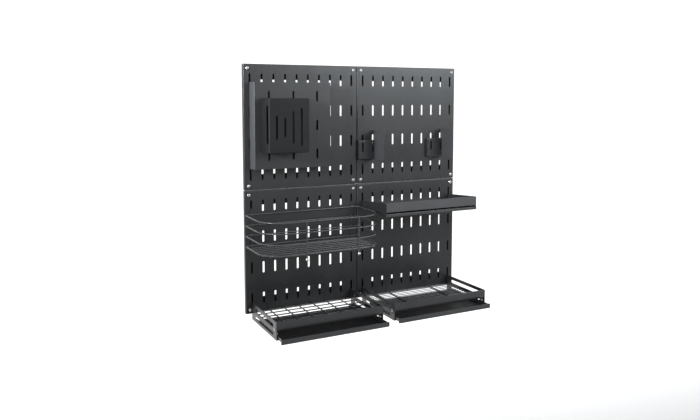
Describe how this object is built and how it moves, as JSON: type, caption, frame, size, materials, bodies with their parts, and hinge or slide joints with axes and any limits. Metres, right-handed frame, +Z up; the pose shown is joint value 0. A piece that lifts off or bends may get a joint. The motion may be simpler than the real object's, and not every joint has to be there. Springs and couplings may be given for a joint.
{
  "type": "pegboard tool wall",
  "caption": "Slotted sheet-metal wall organiser with a hooked-on stand-off plate, holder box, angle brackets, wire basket, shelf and dish racks with pull-out drip trays.",
  "frame": {"origin": "on the wall plane, where the four panels meet", "axes": "+X to the right along the wall, +Y into the wall, +Z up; the holders stand out towards -Y"},
  "size_m": [0.6065, 0.238, 0.6185],
  "materials": {
    "black_coat": "satin black powder coat",
    "bright_steel": "bright plated steel",
    "zinc_sleeve": "zinc plated",
    "white_nylon": "smooth nylon"
  },
  "bodies": {
    "board": {"panel_upper_left": "black_coat", "panel_upper_right": "black_coat", "panel_lower_left": "black_coat", "panel_lower_right": "black_coat", "wall_screws": "bright_steel", "screw_spacers": "zinc_sleeve"},
    "lid_rack": {"lid_rack_plate": "black_coat"},
    "holder": {"holder_box": "black_coat"},
    "left_bracket": {"bracket_left": "black_coat"},
    "right_bracket": {"bracket_right": "black_coat"},
    "basket": {"basket_hoops": "black_coat", "basket_floor_wires": "black_coat", "basket_uprights": "black_coat", "basket_ball_tips": "bright_steel", "basket_hook_left": "black_coat", "basket_hook_right": "black_coat"},
    "shelf": {"shelf_side_left": "black_coat", "shelf_side_right": "black_coat", "shelf_deck": "black_coat"},
    "shelf_drawer": {"shelf_tray": "black_coat"},
    "left_rack": {"left_rack_side_left": "black_coat", "left_rack_side_right": "black_coat", "left_rack_front": "black_coat", "left_rack_floor": "black_coat", "left_rack_screws": "bright_steel", "left_rack_guides": "white_nylon"},
    "left_tray": {"left_drip_tray": "black_coat"},
    "right_rack": {"right_rack_side_left": "black_coat", "right_rack_side_right": "black_coat", "right_rack_front": "black_coat", "right_rack_floor": "black_coat", "right_rack_screws": "bright_steel", "right_rack_guides": "white_nylon"},
    "right_tray": {"right_drip_tray": "black_coat"}
  },
  "joints": [
    {"name": "lid_rack_lift", "type": "slide", "parent": "board", "child": "lid_rack", "axis": [0, 0, 1], "range_m": [0, 0.0095]},
    {"name": "holder_lift", "type": "slide", "parent": "lid_rack", "child": "holder", "axis": [0, 0, 1], "range_m": [0, 0.0095]},
    {"name": "left_bracket_lift", "type": "slide", "parent": "board", "child": "left_bracket", "axis": [0, 0, 1], "range_m": [0, 0.0095]},
    {"name": "right_bracket_lift", "type": "slide", "parent": "board", "child": "right_bracket", "axis": [0, 0, 1], "range_m": [0, 0.0095]},
    {"name": "basket_lift", "type": "slide", "parent": "board", "child": "basket", "axis": [0, 0, 1], "range_m": [0, 0.0095]},
    {"name": "shelf_lift", "type": "slide", "parent": "board", "child": "shelf", "axis": [0, 0, 1], "range_m": [0, 0.0095]},
    {"name": "left_rack_lift", "type": "slide", "parent": "board", "child": "left_rack", "axis": [0, 0, 1], "range_m": [0, 0.0095]},
    {"name": "right_rack_lift", "type": "slide", "parent": "board", "child": "right_rack", "axis": [0, 0, 1], "range_m": [0, 0.0095]},
    {"name": "shelf_tray_slide", "type": "slide", "parent": "shelf", "child": "shelf_drawer", "axis": [0, -1, 0], "range_m": [0, 0.09]},
    {"name": "left_tray_slide", "type": "slide", "parent": "left_rack", "child": "left_tray", "axis": [0, -1, 0], "range_m": [-0.028, 0.115]},
    {"name": "right_tray_slide", "type": "slide", "parent": "right_rack", "child": "right_tray", "axis": [0, -1, 0], "range_m": [-0.02, 0.123]}
  ]
}
